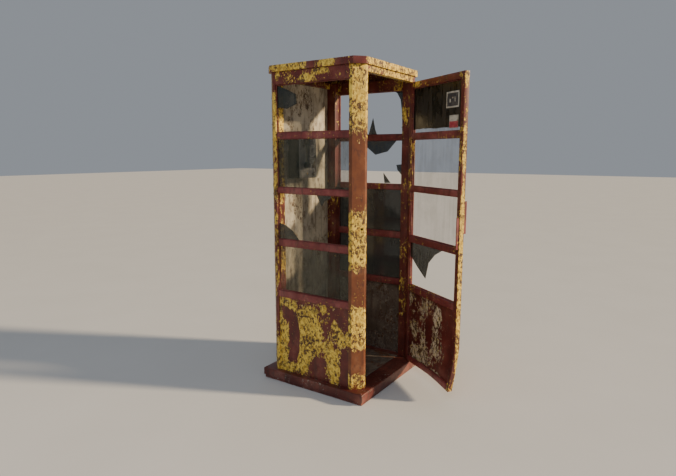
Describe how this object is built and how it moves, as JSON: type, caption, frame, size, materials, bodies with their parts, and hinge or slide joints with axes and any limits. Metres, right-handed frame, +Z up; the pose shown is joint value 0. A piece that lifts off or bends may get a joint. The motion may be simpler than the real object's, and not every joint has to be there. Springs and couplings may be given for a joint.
{
  "type": "telephone booth",
  "caption": "Weathered red telephone booth: glazed steel cabin on a plinth with a hinged glazed door, part-broken panes and a wall payphone with a dial.",
  "frame": {"origin": "centre of the plinth's underside", "axes": "+Z up, -Y towards the door side, +Y towards the back wall with the payphone, +X towards the door's hinge side"},
  "size_m": [0.88, 1.3682, 2.25],
  "materials": {
    "red_paint": "faded dark red paint over an ochre undercoat, flaking down to rust",
    "cream_paint": "dirty cream paint, streaked and peeling",
    "plinth": "cast concrete, painted dark red and worn",
    "floor": "rusted and dusty",
    "glass": "dirty greenish glass",
    "steel": "dull and spotted with rust",
    "phone": "dark grey moulding, scuffed and dusty",
    "dial_plate": "yellowed white",
    "brass": "dull",
    "paper": "faded printed notice without lettering"
  },
  "bodies": {
    "cabin": {"plinth": "plinth", "floor_plate": "floor", "post_front_left": "red_paint", "post_front_right": "red_paint", "post_back_left": "red_paint", "post_back_right": "red_paint", "header_front": "red_paint", "header_back": "red_paint", "header_left": "red_paint", "header_right": "red_paint", "roof_cap": "red_paint", "back_panel": "cream_paint", "left_transom_1": "red_paint", "left_transom_2": "red_paint", "left_transom_3": "red_paint", "left_sill": "red_paint", "left_panel": "red_paint", "left_pane_2": "glass", "left_pane_3_arched_shard": "glass", "left_pane_4": "glass", "right_transom_1": "red_paint", "right_transom_2": "red_paint", "right_transom_3": "red_paint", "right_sill": "red_paint", "right_panel": "red_paint", "right_pane_1_corner_shard": "glass", "right_pane_1_spike_shard": "glass", "right_pane_2_hanging_shard": "glass", "right_pane_3": "glass", "right_pane_4": "glass", "hinge_upper_post_half": "steel", "hinge_lower_post_half": "steel", "phone_backplate": "steel", "phone_housing": "phone", "line_junction_box": "phone", "phone_dial_plate": "dial_plate"},
    "door": {"door_stile_hinge": "red_paint", "door_stile_free": "red_paint", "door_top_rail": "red_paint", "door_transom_1": "red_paint", "door_transom_2": "red_paint", "door_transom_3": "red_paint", "door_sill": "red_paint", "door_bottom_rail": "red_paint", "door_panel": "red_paint", "door_pane_1": "glass", "door_pane_2": "glass", "door_pane_3": "glass", "door_pane_4_shard": "glass", "door_notice": "paper", "door_outer_pull": "red_paint", "door_inner_pull": "red_paint", "hinge_upper_leaf_half": "steel", "hinge_lower_leaf_half": "steel"},
    "dial": {"phone_dial": "steel"},
    "hook": {"phone_hook": "steel", "phone_handset": "phone"},
    "return_flap": {"phone_return_flap": "steel"},
    "coin_door": {"phone_coin_door": "steel"},
    "coin_lock": {"phone_coin_lock": "brass"}
  },
  "joints": [
    {"name": "door_swing", "type": "hinge", "parent": "cabin", "child": "door", "pos_m": [0.3205, -0.395, 0], "axis": [0, 0, 1], "range_deg": [-58, 47]},
    {"name": "dial_turn", "type": "hinge", "parent": "cabin", "child": "dial", "pos_m": [-0.045, 0.2534, 1.68], "axis": [0, 1, 0], "range_deg": [0, 320], "stiffness_Nm_per_rad": 0.01},
    {"name": "hook_lift", "type": "hinge", "parent": "cabin", "child": "hook", "pos_m": [-0.148, 0.285, 1.716], "axis": [-1, 0, 0], "range_deg": [0, 8]},
    {"name": "return_flap_swing", "type": "hinge", "parent": "cabin", "child": "return_flap", "pos_m": [-0.034, 0.2609, 1.5502], "axis": [1, 0, 0], "range_deg": [0, 60]},
    {"name": "coin_door_swing", "type": "hinge", "parent": "cabin", "child": "coin_door", "pos_m": [-0.1842, 0.259, 1.512], "axis": [0, 0, -1], "range_deg": [0, 100]},
    {"name": "coin_lock_turn", "type": "hinge", "parent": "coin_door", "child": "coin_lock", "pos_m": [-0.103, 0.262, 1.512], "axis": [0, 1, 0], "range_deg": [0, 90]}
  ]
}
